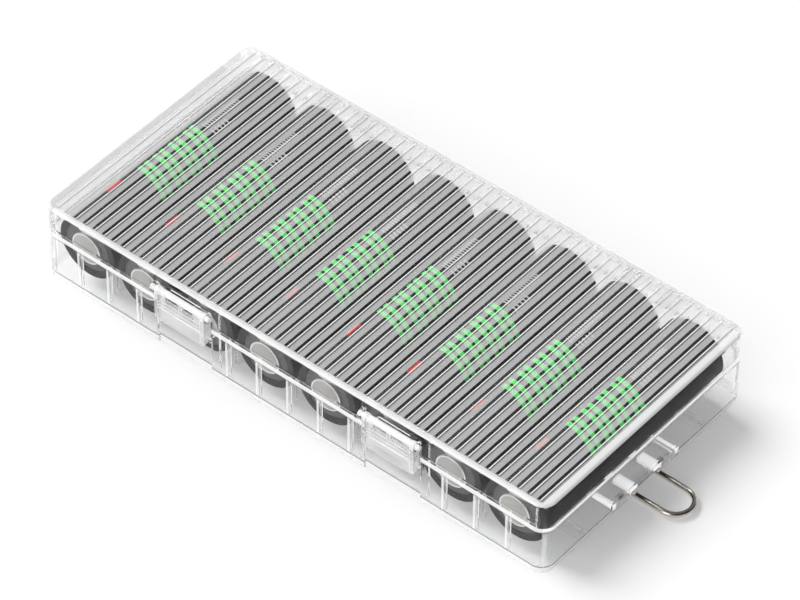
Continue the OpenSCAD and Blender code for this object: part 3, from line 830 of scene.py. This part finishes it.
nickel = metal_finish("nickel plate", (0.43, 0.417, 0.4, 1), (0.52, 0.506, 0.485, 1),
                      (300, 300, 2200), 0.3, 0.44, rim=RIM_RADII)
steel_can = metal_finish("steel can", (0.45, 0.45, 0.46, 1), (0.6, 0.6, 0.61, 1),
                         (1500, 40, 1500), 0.3, 0.45)
bright_wire = metal_finish("bright wire", (0.5, 0.46, 0.42, 1), (0.68, 0.63, 0.58, 1),
                           (60, 900, 900), 0.06, 0.16)
fibre_ring = matt_finish("fibre ring", (0.07, 0.07, 0.072, 1), (0.12, 0.12, 0.122, 1),
                         (1200, 1200, 1200), 0.6)
green_board = matt_finish("circuit board", (0.01, 0.09, 0.03, 1), (0.02, 0.14, 0.05, 1),
                          (800, 800, 800), 0.45)
for metal_or_board in (nickel, steel_can, bright_wire, fibre_ring, green_board):
    print(metal_or_board.name, "has", len(metal_or_board.node_tree.nodes), "nodes")

# %% [markdown]
# Now each solid gets its finish. The solids stay as packed, because their shapes are right:
# new shells over them would leave two surfaces in one place.
# The cells are all alike, so one table says which finish each of their six parts gets.

# %% Dress the solids
def dress(node, finish):
    """Gives one node its finish."""
    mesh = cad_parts[node].data
    mesh.materials.clear()
    mesh.materials.append(finish)


FINISH_OF_PART = {
    "wrap": shrink_wrap,
    "can": steel_can,
    "insulator": fibre_ring,
    "front_terminal": nickel,
    "board": green_board,
    "back_terminal": nickel,
}
dress("base_tray", clear_tray)
for number in range(1, CELL_COUNT):
    dress(f"divider_{number}", clear_tray)
dress("lid", clear_lid)
dress("left_latch", clear_latch)
dress("right_latch", clear_latch)
dress("wire_hanger", bright_wire)
for number in range(1, CELL_COUNT + 1):
    for part, finish in FINISH_OF_PART.items():
        dress(f"cell_{number}_{part}", finish)
print("dressed", len(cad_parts), "solids")

# %% [markdown]
# The case lies on a white studio table. The floor is a plain sheet that takes the shadow.
# A little of its white is its own for rays from the eye, so that it meets the white room
# without a line, and the rest comes from the lamps, so that the shadow stays.

# %% Floor
FLOOR_COLOUR = (0.86, 0.86, 0.865, 1)
FLOOR_OWN_WHITE = 0.22


def white_floor():
    """Pale and matt, with a little white of its own for the eye and for mirrored and bent rays."""
    finish, tree = start_finish("studio floor")
    diffuse = tree.nodes.new("ShaderNodeBsdfDiffuse")
    diffuse.inputs["Color"].default_value = FLOOR_COLOUR
    glow = tree.nodes.new("ShaderNodeEmission")
    path = tree.nodes.new("ShaderNodeLightPath")
    seen = sums(tree, "ADD", path.outputs["Is Camera Ray"], path.outputs["Is Glossy Ray"])
    seen = sums(tree, "MINIMUM", sums(tree, "ADD", seen, path.outputs["Is Transmission Ray"]), 1.0)
    feed(tree, glow.inputs["Strength"], times(tree, seen, FLOOR_OWN_WHITE))
    both = tree.nodes.new("ShaderNodeAddShader")
    tree.links.new(diffuse.outputs[0], both.inputs[0])
    tree.links.new(glow.outputs[0], both.inputs[1])
    finish_off(tree, both.outputs[0])
    return finish


def flat_sheet(name, half, height):
    """A square sheet with its middle under the origin."""
    mesh = bpy.data.meshes.new(name)
    corners = [(-half, -half, height), (half, -half, height), (half, half, height), (-half, half, height)]
    mesh.from_pydata(corners, [], [(0, 1, 2, 3)])
    sheet = bpy.data.objects.new(name, mesh)
    bpy.context.scene.collection.objects.link(sheet)
    return sheet


FLOOR_HALF = 4.0
FLOOR_HEIGHT = -0.05 * mm
floor = flat_sheet("floor", FLOOR_HALF, FLOOR_HEIGHT)
floor.data.materials.append(white_floor())
print("floor at", round(FLOOR_HEIGHT / mm, 2), "mm, just under the case")

# %% [markdown]
# The room is white to the eye, and clear plastic and metal show it too.
# An even white room would wash out every edge, since clear plastic is seen by reflections.
# So mirrored and bent rays meet a bright band near the horizon, a dim ceiling
# and a dim right side, while the light that falls on the pieces stays weak and soft.

# %% White room
world = bpy.data.worlds.new("white room")
bpy.context.scene.world = world
world.use_nodes = True
room = world.node_tree
room.nodes.clear()
path = room.nodes.new("ShaderNodeLightPath")
heading = room.nodes.new("ShaderNodeSeparateXYZ")
room.links.new(room.nodes.new("ShaderNodeTexCoord").outputs["Generated"], heading.inputs[0])
AMBIENT_LOW = 0.9
AMBIENT_HIGH = 0.14
CEILING = 0.2
BAND_TOP = 0.45
BAND_SOFT = 0.4
RIGHT_START = 0.3
RIGHT_DIM = 0.8
low_down = window(room, heading.outputs["Z"], -NO_END, BAND_TOP, BAND_SOFT)
lit_wall = sums(room, "ADD", CEILING, times(room, low_down, 1 - CEILING))
seen = sums(room, "ADD", path.outputs["Is Glossy Ray"], path.outputs["Is Transmission Ray"])
seen = sums(room, "MINIMUM", seen, 1.0)
strength = sums(room, "ADD", path.outputs["Is Camera Ray"], times(room, seen, lit_wall))
ambient = sums(room, "ADD", AMBIENT_HIGH, times(room, low_down, AMBIENT_LOW - AMBIENT_HIGH))
strength = sums(room, "ADD", strength, times(room, path.outputs["Is Diffuse Ray"], ambient))
to_right = times(room, seen, window(room, heading.outputs["X"], RIGHT_START, NO_END, RIGHT_START))
strength = times(room, strength, rest_of(room, times(room, to_right, RIGHT_DIM)))
sky = room.nodes.new("ShaderNodeBackground")
sky.inputs["Color"].default_value = (1, 1, 1, 1)
feed(room, sky.inputs["Strength"], sums(room, "MINIMUM", strength, 1.0))
room_out = room.nodes.new("ShaderNodeOutputWorld")
room.links.new(sky.outputs[0], room_out.inputs["Surface"])
print("room made with", len(room.nodes), "nodes")

# %% [markdown]
# The photograph has one large soft light from the left and behind, so the shadow falls
# to the right end. A wide sun gives that soft edge and lights the far floor as well as the
# near floor. A weak one from the front lifts the walls that face the camera.

# %% Lamps
def soft_sun(name, direction, strength, width):
    """A lamp so far away that it lights the whole floor alike. width in degrees softens its shadow."""
    data = bpy.data.lights.new(name, "SUN")
    data.energy = strength
    data.angle = radians(width)
    lamp = bpy.data.objects.new(name, data)
    bpy.context.scene.collection.objects.link(lamp)
    lamp.location = direction
    lamp.rotation_euler = (-Vector(direction)).to_track_quat("-Z", "Y").to_euler()
    print(name, "strength", strength, "width in degrees", width)
    return lamp


soft_sun("key light", (-0.76, -0.06, 0.78), 2.3, 30)
soft_sun("front fill", (-0.3, -0.9, 0.5), 1.05, 60)

# %% [markdown]
# The camera stands where the photograph's did. Its place came from fitting the case's
# edges in the photograph: about 45 degrees up, 39 degrees round to the right, far away
# and with a long lens, and turned half a degree.

# %% Camera
VIEW_ROUND = radians(39.379)
VIEW_UP = radians(45.149)
VIEW_ROLL = radians(0.562)
VIEW_FAR = 1293.588 * mm
VIEW_TARGET = Vector((-5.841 * mm, 10.822 * mm, 0))
FAR_CLIP = 20
FOCAL_PIXELS = 5052.212
FRAME_WIDTH = 800
SENSOR = 36.0
back = Vector((sin(VIEW_ROUND) * cos(VIEW_UP), -cos(VIEW_ROUND) * cos(VIEW_UP), sin(VIEW_UP)))
level = Vector((cos(VIEW_ROUND), sin(VIEW_ROUND), 0))
upright = back.cross(level)
picture_right = cos(VIEW_ROLL) * level + sin(VIEW_ROLL) * upright
picture_up = -sin(VIEW_ROLL) * level + cos(VIEW_ROLL) * upright
camera_data = bpy.data.cameras.new("photo camera")
camera_data.sensor_fit = "HORIZONTAL"
camera_data.sensor_width = SENSOR
camera_data.lens = FOCAL_PIXELS / FRAME_WIDTH * SENSOR
camera_data.clip_end = FAR_CLIP
camera = bpy.data.objects.new("photo camera", camera_data)
bpy.context.scene.collection.objects.link(camera)
turn = Matrix((picture_right, picture_up, back)).transposed().to_4x4()
camera.matrix_world = Matrix.Translation(VIEW_TARGET + VIEW_FAR * back) @ turn
bpy.context.scene.camera = camera
print("camera at", [round(v, 3) for v in camera.matrix_world.translation], "lens", round(camera_data.lens, 1))

# %% [markdown]
# Colours are kept as written with the Standard view, so a mid grey stays a mid grey.
# A ray through this case crosses many clear faces, so the limits on bounces are raised,
# or the cells behind several walls would turn black.

# %% Picture settings
scene = bpy.context.scene
scene.view_settings.view_transform = "Standard"
BOUNCES = 16
CLEAR_FACES = 32
scene.cycles.transparent_max_bounces = CLEAR_FACES
scene.cycles.transmission_bounces = BOUNCES
scene.cycles.max_bounces = BOUNCES
print("bounces", scene.cycles.max_bounces, "clear faces", scene.cycles.transparent_max_bounces)
